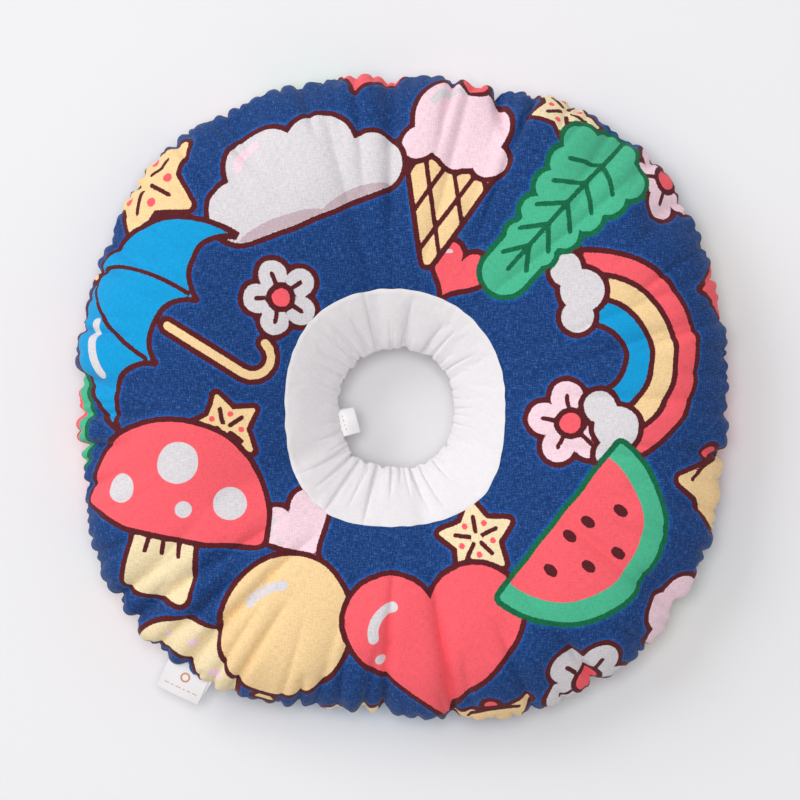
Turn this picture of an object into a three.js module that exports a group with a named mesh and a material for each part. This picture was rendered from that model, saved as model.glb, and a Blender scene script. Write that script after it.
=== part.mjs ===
// A soft recovery collar for a cat: a stuffed cotton ring with a printed front and back cover, and a
// plain neck band that is gathered on elastic round the opening.
// Millimetres and degrees, +Z up. The collar lies on its back cover, with the front cover up.
import * as THREE from "three";

// Driving dimensions
const RIM_RADIUS = 153; // mean radius of the rim seam, where the two covers are sewn together
const BAND_SEAM_RADIUS = 53.5; // mean radius of the seams between the covers and the neck band
const NECK_RADIUS = 27.4; // mean radius of the relaxed opening
const NECK_OFFSET_X = -2.8; // the opening sits a little off the middle of the rim
const NECK_OFFSET_Y = -4.2;
const FRONT_RISE = 27; // crown of the front cover above the rim seam
const BACK_RISE = 25; // crown of the back cover, before the collar's weight flattens it
const REST_DEPTH = 23.2; // rim seam to the flattened stretch that the collar lies on
const COVER_WALL = 1.2; // printed cotton, with the wadding that clings to it
const BAND_WALL = 1.2; // plain cotton, turned double at the gathered edge
const BAND_EDGE_HEIGHT = 6.5; // the elastic's casing, from its front side to its back side
const GATHER_DEPTH = 2.4; // deepest gather of the neck band
const GATHER_PULL = 0.8; // how far the deepest gather draws the edge of the opening outwards
const RIM_PULL = 15; // how far the rim would be drawn in by a crease as deep as the crown
const FOLD_FADE = 1.3; // how fast folds run out: 1 is evenly, more is faster at their root
const CREASE_ONSET = 0.5; // share of the crown above which creases have their full depth
const SEAM_GAP = 0.3; // between pieces that are sewn together
const FILLING_GAP = 0.4; // between the wadding and the cloth round it
const FILLING_REACH = 0.45; // how far the wadding bulges into the neck band, as a share of its width

// The sewn-in labels
const SIZE_LABEL_ANGLE = 232.5;
const SIZE_LABEL_WIDTH = 20;
const SIZE_LABEL_LENGTH = 16.5;
const SIZE_LABEL_DROOP = 4;
const CARE_LABEL_ANGLE = 197;
const CARE_LABEL_WIDTH = 12;
const CARE_LABEL_LENGTH = 8;
const CARE_LABEL_DROOP = 2.5;
const LABEL_WALL = 1;

// Flat facets
const STEPS = 108; // round the ring
const LABEL_STRIPS = 6; // across a label's width
const LABEL_BENDS = 4; // along a label's length

// Outlines seen from the front, as shares of the three mean radii.
const OUTLINES = [
  { angle: 0, rim: 0.97, seam: 0.922, neck: 0.958 },
  { angle: 15, rim: 0.991, seam: 0.94, neck: 0.966 },
  { angle: 30, rim: 1.015, seam: 0.966, neck: 0.99 },
  { angle: 45, rim: 1.036, seam: 0.987, neck: 1.008 },
  { angle: 60, rim: 1.006, seam: 1.004, neck: 1 },
  { angle: 75, rim: 0.976, seam: 1.009, neck: 0.99 },
  { angle: 90, rim: 0.967, seam: 1.017, neck: 0.985 },
  { angle: 105, rim: 0.994, seam: 1.03, neck: 0.985 },
  { angle: 120, rim: 1.009, seam: 1.047, neck: 0.992 },
  { angle: 135, rim: 1.033, seam: 1.047, neck: 1 },
  { angle: 150, rim: 1.009, seam: 1.013, neck: 1.008 },
  { angle: 165, rim: 0.994, seam: 0.978, neck: 1 },
  { angle: 180, rim: 0.988, seam: 0.957, neck: 0.99 },
  { angle: 195, rim: 0.994, seam: 0.978, neck: 1.005 },
  { angle: 210, rim: 1.042, seam: 1.034, neck: 1.025 },
  { angle: 225, rim: 1.054, seam: 1.069, neck: 1.045 },
  { angle: 240, rim: 1.018, seam: 1.078, neck: 1.03 },
  { angle: 255, rim: 0.961, seam: 1.039, neck: 1 },
  { angle: 270, rim: 0.952, seam: 1.013, neck: 0.99 },
  { angle: 285, rim: 0.994, seam: 1.022, neck: 1.005 },
  { angle: 300, rim: 1.024, seam: 1.043, neck: 1.02 },
  { angle: 315, rim: 1.033, seam: 1.052, neck: 1.015 },
  { angle: 330, rim: 1.018, seam: 1, neck: 1 },
  { angle: 345, rim: 0.979, seam: 0.944, neck: 0.97 },
];

// A cover from its rim seam to the neck band's seam: how far across it is, and how high, as shares of
// its width and rise. The inside of its wall follows only the stations marked lined.
const COVER_STATIONS = [
  { across: 0, height: 0, lined: true },
  { across: 0.012, height: 0.26, lined: false },
  { across: 0.05, height: 0.5, lined: true },
  { across: 0.13, height: 0.735, lined: true },
  { across: 0.26, height: 0.9, lined: false },
  { across: 0.45, height: 0.99, lined: true },
  { across: 0.64, height: 0.985, lined: false },
  { across: 0.84, height: 0.89, lined: false },
  { across: 1, height: 0.74, lined: true },
];

// Half of the neck band, from its seam to the gathered edge: across it, and as a share of the way up
// from the casing at the edge to the seam.
const BAND_STATIONS = [
  { across: 0, height: 1, lined: true },
  { across: 0.28, height: 0.76, lined: false },
  { across: 0.55, height: 0.48, lined: true },
  { across: 0.85, height: 0.12, lined: true },
];

// Creases of the front cover. root 0 starts at the rim and root 1 at the neck band's seam; spread is
// half a crease's width in degrees, depth a share of the crown, reach a share of the cover's width.
const CREASES = [
  { angle: 6, root: 0, spread: 3.5, depth: 0.1, reach: 0.25 },
  { angle: 18, root: 0, spread: 3.5, depth: 0.09, reach: 0.2 },
  { angle: 36, root: 0, spread: 3.5, depth: 0.09, reach: 0.25 },
  { angle: 52, root: 0, spread: 3, depth: 0.13, reach: 0.3 },
  { angle: 73, root: 0, spread: 3.5, depth: 0.22, reach: 0.65 },
  { angle: 91, root: 0, spread: 4, depth: 0.1, reach: 0.5 },
  { angle: 107, root: 0, spread: 3.5, depth: 0.09, reach: 0.3 },
  { angle: 120, root: 0, spread: 3.5, depth: 0.08, reach: 0.3 },
  { angle: 150, root: 0, spread: 3.5, depth: 0.08, reach: 0.25 },
  { angle: 163, root: 0, spread: 3, depth: 0.12, reach: 0.25 },
  { angle: 180, root: 0, spread: 3.5, depth: 0.18, reach: 0.3 },
  { angle: 192, root: 0, spread: 3, depth: 0.12, reach: 0.3 },
  { angle: 219, root: 0, spread: 4.5, depth: 0.11, reach: 0.8 },
  { angle: 231, root: 0, spread: 3.5, depth: 0.11, reach: 0.7 },
  { angle: 244, root: 0, spread: 3, depth: 0.12, reach: 0.35 },
  { angle: 257, root: 0, spread: 3, depth: 0.12, reach: 0.35 },
  { angle: 268, root: 0, spread: 3.5, depth: 0.13, reach: 0.5 },
  { angle: 281, root: 0, spread: 3.5, depth: 0.1, reach: 0.4 },
  { angle: 300, root: 0, spread: 3, depth: 0.08, reach: 0.25 },
  { angle: 325, root: 0, spread: 3.5, depth: 0.09, reach: 0.25 },
  { angle: 341, root: 0, spread: 3, depth: 0.1, reach: 0.3 },
  { angle: 352, root: 0, spread: 3, depth: 0.1, reach: 0.3 },
  { angle: 101, root: 1, spread: 5, depth: 0.07, reach: 0.5 },
  { angle: 208, root: 1, spread: 6, depth: 0.07, reach: 0.6 },
  { angle: 284, root: 1, spread: 5, depth: 0.08, reach: 0.55 },
];

// Gathers of the neck band: depth a share of the deepest, reach a share of the band's width.
const GATHERS = [
  { angle: 30, spread: 5, depth: 0.5, reach: 0.8 },
  { angle: 48, spread: 4, depth: 0.5, reach: 0.7 },
  { angle: 61, spread: 4, depth: 0.7, reach: 0.8 },
  { angle: 82, spread: 4, depth: 1, reach: 0.95 },
  { angle: 105, spread: 4, depth: 1, reach: 0.95 },
  { angle: 117, spread: 4, depth: 0.8, reach: 0.85 },
  { angle: 129, spread: 4, depth: 0.6, reach: 0.7 },
  { angle: 143, spread: 4, depth: 0.8, reach: 0.85 },
  { angle: 157, spread: 4, depth: 0.5, reach: 0.5 },
  { angle: 172, spread: 5, depth: 0.4, reach: 0.4 },
  { angle: 220, spread: 3.5, depth: 0.7, reach: 0.9 },
  { angle: 229, spread: 3.5, depth: 0.9, reach: 1 },
  { angle: 238, spread: 3.5, depth: 1, reach: 1 },
  { angle: 256, spread: 3.5, depth: 1, reach: 1 },
  { angle: 275, spread: 3.5, depth: 0.7, reach: 0.6 },
  { angle: 286, spread: 3.5, depth: 1, reach: 0.9 },
  { angle: 296, spread: 3.5, depth: 0.8, reach: 0.85 },
  { angle: 309, spread: 4, depth: 0.5, reach: 0.6 },
  { angle: 322, spread: 5, depth: 0.4, reach: 0.5 },
  { angle: 337, spread: 4, depth: 0.5, reach: 0.5 },
];

const NECK_OFFSET = new THREE.Vector2(NECK_OFFSET_X, NECK_OFFSET_Y);

const mix = THREE.MathUtils.lerp;

// The way from the middle outwards at an angle.
function outward(angle) {
  const radians = THREE.MathUtils.degToRad(angle);
  return new THREE.Vector2(Math.cos(radians), Math.sin(radians));
}

// Degrees between two directions, from -180 to 180.
function turnBetween(angle, other) {
  return ((((angle - other + 180) % 360) + 360) % 360) - 180;
}

// A column of the outlines at an angle, as a smooth closed curve through its rows.
function outline(column, angle) {
  const spacing = 360 / OUTLINES.length;
  const place = ((((angle - OUTLINES[0].angle) % 360) + 360) % 360) / spacing;
  const row = Math.floor(place);
  const share = place - row;
  const at = (n) => OUTLINES[(n + OUTLINES.length) % OUTLINES.length][column];
  const [before, first, second, after] = [-1, 0, 1, 2].map((n) => at(row + n));
  const slope = second - before;
  const bend = 2 * before - 5 * first + 4 * second - after;
  const twist = 3 * (first - second) + after - before;
  return first + 0.5 * share * (slope + share * (bend + share * twist));
}

// How deep the folds of a table are at an angle. shareFromRoot gives the share of the cloth's width
// between a fold's root and the place that is asked for.
function foldDepth(folds, angle, shareFromRoot) {
  let depth = 0;
  for (const fold of folds) {
    const off = turnBetween(angle, fold.angle) / fold.spread;
    const fade = Math.max(0, 1 - shareFromRoot(fold) / fold.reach);
    depth += fold.depth * Math.exp(-off * off) * fade ** FOLD_FADE;
  }
  return depth;
}

const creaseDepth = (angle, across) =>
  foldDepth(CREASES, angle, (crease) => Math.abs(across - crease.root));

const gatherShare = (angle, across) => foldDepth(GATHERS, angle, () => 1 - across);

function rimPoint(angle) {
  const drawnIn = RIM_PULL * creaseDepth(angle, 0);
  return outward(angle).multiplyScalar(RIM_RADIUS * outline("rim", angle) - drawnIn);
}

function seamPoint(angle) {
  return outward(angle)
    .multiplyScalar(BAND_SEAM_RADIUS * outline("seam", angle))
    .add(NECK_OFFSET);
}

// The gathered edge of the opening, drawn out a little where a gather ends in it.
function neckPoint(angle) {
  const drawnOut = GATHER_PULL * gatherShare(angle, 1);
  return outward(angle)
    .multiplyScalar(NECK_RADIUS * outline("neck", angle) + drawnOut)
    .add(NECK_OFFSET);
}

// Section points are { x, z }: x across the section from its start, z from the rim seam's level.
// The same points, moved inwards by a wall's thickness, at right angles to the section.
function inset(points, wall, side) {
  return points.map((point, n) => {
    const before = points[Math.max(0, n - 1)];
    const after = points[Math.min(points.length - 1, n + 1)];
    const along = new THREE.Vector2(after.x - before.x, after.z - before.z).normalize();
    return { x: point.x + along.y * wall * side, z: point.z - along.x * wall * side };
  });
}

// The outside of a cover, from the rim to the neck band's seam. side is 1 for the front, -1 for the back.
function coverOutside(angle, side) {
  const width = rimPoint(angle).distanceTo(seamPoint(angle));
  return COVER_STATIONS.map(({ across, height }) => {
    const crown = side > 0 ? FRONT_RISE : BACK_RISE;
    const creased = creaseDepth(angle, across) * Math.min(1, height / CREASE_ONSET);
    const rise = crown * (height - creased);
    return { x: across * width, z: side > 0 ? rise : -Math.min(rise, REST_DEPTH) };
  });
}

const linedOnly = (points, stations) => points.filter((_, n) => stations[n].lined);

// The inside of a cover's wall, this far in from its outside, between upright ends.
function coverInside(angle, side, wall) {
  const outside = linedOnly(coverOutside(angle, side), COVER_STATIONS);
  const inside = inset(outside, wall, side);
  const last = outside.length - 1;
  inside[0] = { x: wall, z: outside[0].z };
  inside[last] = { x: outside[last].x, z: outside[last].z - side * wall };
  return inside;
}

// Half of the neck band's outside, from its seam to the gathered edge.
function bandOutside(angle, side) {
  const width = seamPoint(angle).distanceTo(neckPoint(angle));
  const edge = BAND_EDGE_HEIGHT / 2;
  const seam = Math.abs(coverOutside(angle, side).at(-1).z);
  return BAND_STATIONS.map(({ across, height }) => {
    const rise = mix(edge, seam, height) - GATHER_DEPTH * gatherShare(angle, across);
    return { x: mix(SEAM_GAP, width, across), z: side * rise };
  });
}

function bandInside(angle, side, wall) {
  const outside = linedOnly(bandOutside(angle, side), BAND_STATIONS);
  const inside = inset(outside, wall, side);
  inside[0] = { x: outside[0].x, z: outside[0].z - side * wall };
  return inside;
}

// Puts section points into space, along the line from one point towards another.
function place(points, from, to) {
  const across = to.clone().sub(from).normalize();
  return points.map(({ x, z }) => new THREE.Vector3(from.x + across.x * x, from.y + across.y * x, z));
}

// A closed ring through closed sections, each a list of points in order round it. Every facet's diagonal
// runs the same way, outwards to inwards, so that nested walls keep their distance.
function ringSolid(sections) {
  const size = sections[0].length;
  const fromNeck = (point) => Math.hypot(point.x - NECK_OFFSET.x, point.y - NECK_OFFSET.y);
  const positions = sections.flat().flatMap((point) => point.toArray());
  const triangles = [];
  sections.forEach((section, n) => {
    const next = (n + 1) % sections.length;
    for (let i = 0; i < size; i++) {
      const j = (i + 1) % size;
      const [a, b, c, d] = [n * size + i, n * size + j, next * size + j, next * size + i];
      if (fromNeck(section[i]) > fromNeck(section[j])) triangles.push(a, d, c, a, c, b);
      else triangles.push(a, d, b, b, d, c);
    }
  });
  return meshGeometry(positions, triangles);
}

// A strip through closed sections, with flat ends. profile is the section's outline, for the ends.
function stripSolid(sections, profile) {
  const size = sections[0].length;
  const last = (sections.length - 1) * size;
  const positions = sections.flat().flatMap((point) => point.toArray());
  const triangles = [];
  for (let n = 0; n + 1 < sections.length; n++) {
    for (let i = 0; i < size; i++) {
      const j = (i + 1) % size;
      const [a, b] = [n * size + i, n * size + j];
      triangles.push(a, a + size, b + size, a, b + size, b);
    }
  }
  for (const [a, b, c] of THREE.ShapeUtils.triangulateShape(profile, [])) {
    triangles.push(a, b, c, last + c, last + b, last + a);
  }
  return meshGeometry(positions, triangles);
}

function meshGeometry(positions, triangles) {
  const geometry = new THREE.BufferGeometry();
  geometry.setAttribute("position", new THREE.Float32BufferAttribute(positions, 3));
  geometry.setIndex(triangles);
  geometry.computeVertexNormals();
  return geometry;
}

const angles = Array.from({ length: STEPS }, (_, n) => (360 * n) / STEPS);

function coverGeometry(side) {
  const sections = angles.map((angle) => {
    const outside = coverOutside(angle, side);
    const inside = coverInside(angle, side, COVER_WALL);
    const lift = (side * SEAM_GAP) / 2;
    outside[0].z = lift;
    inside[0].z = lift;
    const loop = [...outside, ...inside.reverse()];
    return place(side > 0 ? loop : loop.reverse(), rimPoint(angle), seamPoint(angle));
  });
  return ringSolid(sections);
}

// The neck band is one folded strip: over the front half, round the elastic, back under the back half.
function bandGeometry() {
  const sections = angles.map((angle) => {
    const [seam, neck] = [seamPoint(angle), neckPoint(angle)];
    const width = seam.distanceTo(neck);
    const loop = [
      ...bandOutside(angle, 1),
      { x: width, z: 0 },
      ...bandOutside(angle, -1).reverse(),
      ...bandInside(angle, -1, BAND_WALL),
      { x: width - BAND_WALL, z: 0 },
      ...bandInside(angle, 1, BAND_WALL).reverse(),
    ];
    return place(loop, seam, neck);
  });
  return ringSolid(sections);
}

// The wadding fills the covers and bulges a little into the neck band.
function fillingGeometry() {
  const depth = COVER_WALL + FILLING_GAP;
  const sections = angles.map((angle) => {
    const [rim, seam, neck] = [rimPoint(angle), seamPoint(angle), neckPoint(angle)];
    const tip = seam.clone().lerp(neck, FILLING_REACH);
    const [front, back] = [1, -1].map((side) =>
      place(coverInside(angle, side, depth), rim, seam),
    );
    front[0].z = 0;
    return [...front, new THREE.Vector3(tip.x, tip.y, 0), ...back.slice(1).reverse()];
  });
  return ringSolid(sections);
}

// A label's side view: a thin ribbon that leaves its seam level and droops at the end.
function labelProfile(length, droop) {
  const surface = (height) =>
    Array.from({ length: LABEL_BENDS + 1 }, (_, n) => {
      const share = n / LABEL_BENDS;
      return new THREE.Vector2(share * length, height - droop * share ** 2);
    });
  return [...surface(-LABEL_WALL / 2), ...surface(LABEL_WALL / 2).reverse()];
}

// A label that is sewn into a seam. seamAt gives the seam's point at an angle, and way is 1 for a label
// that sticks out from the rim and -1 for one that sticks in from the neck's edge.
function labelGeometry({ angle, width, length, droop, radius, seamAt, way }) {
  const halfTurn = THREE.MathUtils.radToDeg(width / 2 / radius);
  const profile = labelProfile(length, droop);
  const outwards = outward(angle).multiplyScalar(way);
  const sections = [];
  for (let n = 0; n <= LABEL_STRIPS; n++) {
    const root = seamAt(angle + way * mix(-halfTurn, halfTurn, n / LABEL_STRIPS));
    sections.push(
      profile.map(({ x, y }) => {
        const point = root.clone().addScaledVector(outwards, x + SEAM_GAP);
        return new THREE.Vector3(point.x, point.y, y);
      }),
    );
  }
  return stripSolid(sections, profile);
}

const printedCotton = { color: 0x1a3f75, roughness: 0.9, metalness: 0 };
const plainCotton = { color: 0xe9e6e6, roughness: 0.92, metalness: 0 };
const wadding = { color: 0xf2f2f0, roughness: 1, metalness: 0 };
const satinRibbon = { color: 0xf4f2f4, roughness: 0.45, metalness: 0 };

function piece(name, geometry, finish) {
  const mesh = new THREE.Mesh(geometry, new THREE.MeshStandardMaterial(finish));
  mesh.name = name;
  return mesh;
}

const collar = new THREE.Group();
collar.add(
  piece("front_cover", coverGeometry(1), printedCotton),
  piece("back_cover", coverGeometry(-1), printedCotton),
  piece("fibre_filling", fillingGeometry(), wadding),
  piece("neck_band", bandGeometry(), plainCotton),
  piece(
    "size_label",
    labelGeometry({
      angle: SIZE_LABEL_ANGLE,
      width: SIZE_LABEL_WIDTH,
      length: SIZE_LABEL_LENGTH,
      droop: SIZE_LABEL_DROOP,
      radius: RIM_RADIUS,
      seamAt: rimPoint,
      way: 1,
    }),
    satinRibbon,
  ),
  piece(
    "care_label",
    labelGeometry({
      angle: CARE_LABEL_ANGLE,
      width: CARE_LABEL_WIDTH,
      length: CARE_LABEL_LENGTH,
      droop: CARE_LABEL_DROOP,
      radius: NECK_RADIUS,
      seamAt: neckPoint,
      way: -1,
    }),
    satinRibbon,
  ),
);

// The origin is the middle of the collar's outline, on the surface that it lies on.
const bounds = new THREE.Box3().setFromObject(collar);
const middle = bounds.getCenter(new THREE.Vector3());
collar.position.set(-middle.x, -middle.y, -bounds.min.z);

export default collar;
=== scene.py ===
# The looks of a cat's soft recovery collar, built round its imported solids: two printed cotton covers that are
# stuffed and sewn together at the rim, a gathered white neck band, and two satin labels. It lies on its back.
import math
import bmesh
import bpy
import numpy as np
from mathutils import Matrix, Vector, noise
from mathutils.bvhtree import BVHTree


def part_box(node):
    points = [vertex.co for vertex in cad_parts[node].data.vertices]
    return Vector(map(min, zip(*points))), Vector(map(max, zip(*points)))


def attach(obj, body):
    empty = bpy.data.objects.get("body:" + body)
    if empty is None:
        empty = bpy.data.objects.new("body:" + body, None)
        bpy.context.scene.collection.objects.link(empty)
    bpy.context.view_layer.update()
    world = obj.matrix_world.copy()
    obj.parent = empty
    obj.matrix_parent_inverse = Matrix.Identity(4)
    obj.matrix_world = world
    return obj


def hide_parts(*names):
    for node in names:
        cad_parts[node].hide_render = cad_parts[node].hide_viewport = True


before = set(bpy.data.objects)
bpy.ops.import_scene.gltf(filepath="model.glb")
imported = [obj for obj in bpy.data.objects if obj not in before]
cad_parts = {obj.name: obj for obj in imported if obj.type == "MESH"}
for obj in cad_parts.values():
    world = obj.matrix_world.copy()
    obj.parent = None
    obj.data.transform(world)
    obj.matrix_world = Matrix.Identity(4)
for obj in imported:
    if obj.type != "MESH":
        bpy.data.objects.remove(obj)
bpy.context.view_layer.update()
mm = 0.001
outside = 0.3  # m from the middle, further out than any piece
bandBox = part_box("neck_band")
rimLevel = (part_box("front_cover")[0].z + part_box("back_cover")[1].z) / 2
middle = Vector(((bandBox[0].x + bandBox[1].x) / 2, (bandBox[0].y + bandBox[1].y) / 2, 0))
print("frame:", ", ".join(sorted(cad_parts)))


def table(names, rows):
    # a table's rows, each as a dictionary by the names of its columns
    return [dict(zip(names.split(), row)) for row in rows]


# Camera, straight above the front cover

view = {
    "distance": 1.5,  # above the rim seam
    "across": 0.3680,  # width of the picture at the rim seam's level
    "aimX": -0.0005,  # the collar sits a touch to the right in the picture, and high
    "aimY": -0.0014,
    "sensor": 36.0,
}


def makeCamera():
    lens = bpy.data.cameras.new("camera")
    lens.sensor_width = view["sensor"]
    lens.lens = view["sensor"] * view["distance"] / view["across"]
    camera = bpy.data.objects.new("camera", lens)
    camera.location = (view["aimX"], view["aimY"], rimLevel + view["distance"])
    bpy.context.scene.collection.objects.link(camera)
    bpy.context.scene.camera = camera


makeCamera()


# Sections of the solids, round the middle of the opening. A section's points are (distance, height).

ring = {
    "around": 216,  # sections
    "coverRows": 26,  # points of a cover from the rim seam to the band's seam
    "bandRows": 37,  # points of the band from its front seam, through the opening, to its back seam
    "rimCrowding": 1.35,  # above 1 the rows are closer at the rim, where the cover turns over
    "fan": 60,  # rays that read each section
    "evenedRound": 2,  # passes that take the solids' facets out, round the ring and along the sections
    "evenedAlong": 3,
    "seamWave": 0.35 * mm,  # how uneven the band's seams are
    "drawnIn": 1.3 * mm,  # what the gathers need at the elastic
    # how far the stuffing pushes the rim out past the solids, in mm
    "rim": table("angle out", [
        (0, 3.6),
        (30, 1.9),
        (60, 4.0),
        (90, 2.0),
        (135, 2.2),
        (180, 1.5),
        (198, 1.4),
        (218, 3.8),
        (270, 2.2),
        (318, 3.2),
        (335, 4.2),
    ]),
}

turns = np.arange(ring["around"]) * 2 * math.pi / ring["around"]
ways = np.column_stack([np.cos(turns), np.sin(turns)])
coverShares = np.linspace(0, 1, ring["coverRows"]) ** ring["rimCrowding"]
bandShares = np.linspace(0, 1, ring["bandRows"])


def solidTree(node):
    bm = bmesh.new()
    bm.from_mesh(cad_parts[node].data)
    bmesh.ops.remove_doubles(bm, verts=bm.verts, dist=1e-6)
    tree = BVHTree.FromBMesh(bm)
    bm.free()
    return tree


def inSpace(lines):
    flat = ways[:, None] * lines[..., :1] + (middle.x, middle.y)
    return np.concatenate([flat, lines[..., 1:]], axis=-1)


def met(tree, section, start, aim):
    # where a ray in a section's plane meets the solid
    way = Vector((*ways[section], 0))
    place = middle + way * start[0] + Vector((0, 0, start[1]))
    hit = tree.ray_cast(place, way * math.cos(aim) + Vector((0, 0, math.sin(aim))))[0]
    return ((hit - middle).dot(way), hit.z) if hit else None


def fanned(tree, section, core, aims, span):
    # the outside of a solid round a point in it, met by rays that run towards that point
    starts = [(core[0] + span * math.cos(aim), core[1] + span * math.sin(aim)) for aim in aims]
    hits = [met(tree, section, start, aim + math.pi) for start, aim in zip(starts, aims)]
    return [hit for hit in hits if hit]


def spaced(points, shares):
    # points at these shares of a line's length, and the length
    points = np.asarray(points)
    gone = np.concatenate([[0], np.cumsum(np.linalg.norm(np.diff(points, axis=0), axis=1))])
    return np.column_stack([np.interp(shares * gone[-1], gone, points[:, k]) for k in (0, 1)]), gone[-1]


def evened(lines, around, along=0):
    lines = lines.copy()
    for _ in range(around):
        lines = (np.roll(lines, 1, 0) + 2 * lines + np.roll(lines, -1, 0)) / 4
    for _ in range(along):
        lines[:, 1:-1] = (lines[:, :-2] + 2 * lines[:, 1:-1] + lines[:, 2:]) / 4
    return lines


bandTree = solidTree("neck_band")
coverTrees = {1: solidTree("front_cover"), -1: solidTree("back_cover")}


def seamDistance(section):
    heights = rimLevel + np.arange(9, 21) * mm
    hits = [met(bandTree, section, (outside, height), math.pi) for height in heights]
    return max(hit[0] for hit in hits if hit)


seamAway = evened(np.array([seamDistance(n) for n in range(ring["around"])]), 2)
seamAway += ring["seamWave"] * np.sin(turns * 37 + 2 * np.sin(turns * 5)) * np.sin(turns * 4 + 1)
rimOut = np.interp(np.degrees(turns), [row["angle"] for row in ring["rim"]],
                   [row["out"] for row in ring["rim"]], period=360)
rimOut = evened(rimOut, 60) * mm


def coverSection(section, side):
    tree, seam = coverTrees[side], seamAway[section]
    rim = met(tree, section, (outside, rimLevel + side * mm), math.pi)[0]
    height = met(tree, section, (seam + 1.2 * mm, rimLevel + side * 0.1), -side * math.pi / 2)[1]
    core = ((rim + seam) / 2, rimLevel)
    last = math.atan2(abs(height - rimLevel), seam - core[0])
    hits = fanned(tree, section, core, side * np.linspace(0.03, last - 0.03, ring["fan"]), 0.12)
    return spaced([(rim, rimLevel), *hits, (seam, height)], coverShares)


def readCover(side):
    sections = [coverSection(n, side) for n in range(ring["around"])]
    lines = evened(np.array([line for line, _ in sections]), ring["evenedRound"], ring["evenedAlong"])
    lines[..., 0] += rimOut[:, None] * (1 - coverShares) ** 2
    return lines, np.array([length for _, length in sections])


def bandSection(section):
    aims = np.linspace(1.75, 2 * math.pi - 1.75, ring["fan"])
    hits = fanned(bandTree, section, (seamAway[section], rimLevel), aims, 0.05)
    return spaced([frontLines[section, -1], *hits, backLines[section, -1]], bandShares)[0]


frontLines, frontLength = readCover(1)
backLines, backLength = readCover(-1)
bandLines = evened(np.array([bandSection(n) for n in range(ring["around"])]), 1, 1)
bandLines[..., 0] -= ring["drawnIn"] * (1 - np.abs(2 * bandShares - 1)) ** 2
bandWidth = np.linalg.norm(np.diff(bandLines, axis=1), axis=2).sum(axis=1).mean()
coverLength = evened((frontLength + backLength) / 2, 40)
cutAway = seamAway[:, None] + coverLength[:, None] * (1 - coverShares)  # distances on the flat cut
print(f"sections: rim {frontLines[:, 0, 0].min() / mm:.1f} to {frontLines[:, 0, 0].max() / mm:.1f} mm, "
      f"covers {coverLength.mean() / mm:.1f} mm and band {bandWidth / mm:.1f} mm wide on the cut")


# Meshes

def spunSheet(points, cut=None):
    # a line of points spun round, and then set to the places of sections x rows
    around, rows = points.shape[:2]
    bm = bmesh.new()
    flat = bm.verts.layers.float_vector.new("flat")
    line = [bm.verts.new((1 + row, 0, 0)) for row in range(rows)]
    edges = [bm.edges.new(ends) for ends in zip(line, line[1:])]
    bmesh.ops.spin(bm, geom=line + edges, cent=(0, 0, 0), axis=(0, 0, 1), angle=2 * math.pi, steps=around,
                   use_merge=True)
    grid = {}
    for vert in bm.verts:
        section = round(math.atan2(vert.co.y, vert.co.x) / (2 * math.pi) * around) % around
        grid[section, round(vert.co.xy.length) - 1] = vert
    for place, vert in grid.items():
        vert.co = points[place]
        if cut is not None:
            vert[flat] = cut[place]
    bm.normal_update()
    if sum(face.normal.dot(fromStuffing(face.calc_center_median())) for face in bm.faces) < 0:
        bmesh.ops.reverse_faces(bm, faces=bm.faces)
    return bm, grid


def fromStuffing(place, away=0.1):
    # the way from the middle of the stuffing outwards
    flat = (place - middle).to_2d()
    return Vector((*(flat - flat.normalized() * away), place.z - rimLevel))


def newPiece(name, bm):
    mesh = bpy.data.meshes.new(name)
    bm.to_mesh(mesh)
    bm.free()
    piece = bpy.data.objects.new(name, mesh)
    bpy.context.scene.collection.objects.link(piece)
    return piece


def applied(piece):
    graph = bpy.context.evaluated_depsgraph_get()
    mesh = bpy.data.meshes.new_from_object(piece.evaluated_get(graph), preserve_all_data_layers=True,
                                           depsgraph=graph)
    piece.modifiers.clear()
    piece.data = mesh
    mesh.polygons.foreach_set("use_smooth", np.ones(len(mesh.polygons), bool))
    return mesh


def columns(values, width, kind="co"):
    numbers = np.empty(len(values) * width)
    values.foreach_get(kind, numbers)
    return numbers.reshape(-1, width)


# Stuffing: the shell swells inside cloth that is cut wider than it ends up. The covers' spare length puckers at
# the rim, and the band's gathers at its elastic.

stuffing = {
    "coverEase": 0.75,  # share of the cut's spare length round the ring that is left to pucker
    "bandEase": 0.28,
    "rimTuck": 1.2 * mm,  # how deep the seams sit between the pieces that they join
    "bandTuck": 0.7 * mm,
    "elasticRows": 1,  # rows of the band that the elastic holds, on each side of its edge
    "pressure": 4.0,
    "frames": 20,
    "coverMost": 6 * mm,  # no point moves further
    "bandMost": 3 * mm,
    "quality": 6,
    "mass": 0.05,
    "stretch": 30.0,
    "shear": 5.0,
    "bend": 0.4,
    "restBend": 0.8 * mm,  # how softly the back turns flat on the floor
}


def cutLines(lines, wider, side, ease):
    # the cloth's own shape: the sections' length, and part of the cut's width
    distances = lines[..., 0] + ease * (wider - lines[..., 0])
    steps = np.linalg.norm(np.diff(lines, axis=1), axis=2)
    rises = np.sqrt(np.maximum(steps ** 2 - np.diff(distances, axis=1) ** 2, 0))
    gone = np.concatenate([np.zeros((len(lines), 1)), np.cumsum(rises, axis=1)], axis=1)
    return np.stack([distances, rimLevel + side * gone], axis=-1)


def bandCut(lines):
    wider = np.broadcast_to(seamAway[:, None], lines.shape[:2])
    half = lines.shape[1] // 2
    front = cutLines(lines[:, half::-1], wider[:, half::-1], 1, stuffing["bandEase"])[:, ::-1]
    back = cutLines(lines[:, half:], wider[:, half:], -1, stuffing["bandEase"])
    return np.concatenate([front, back[:, 1:]], axis=1)


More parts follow.
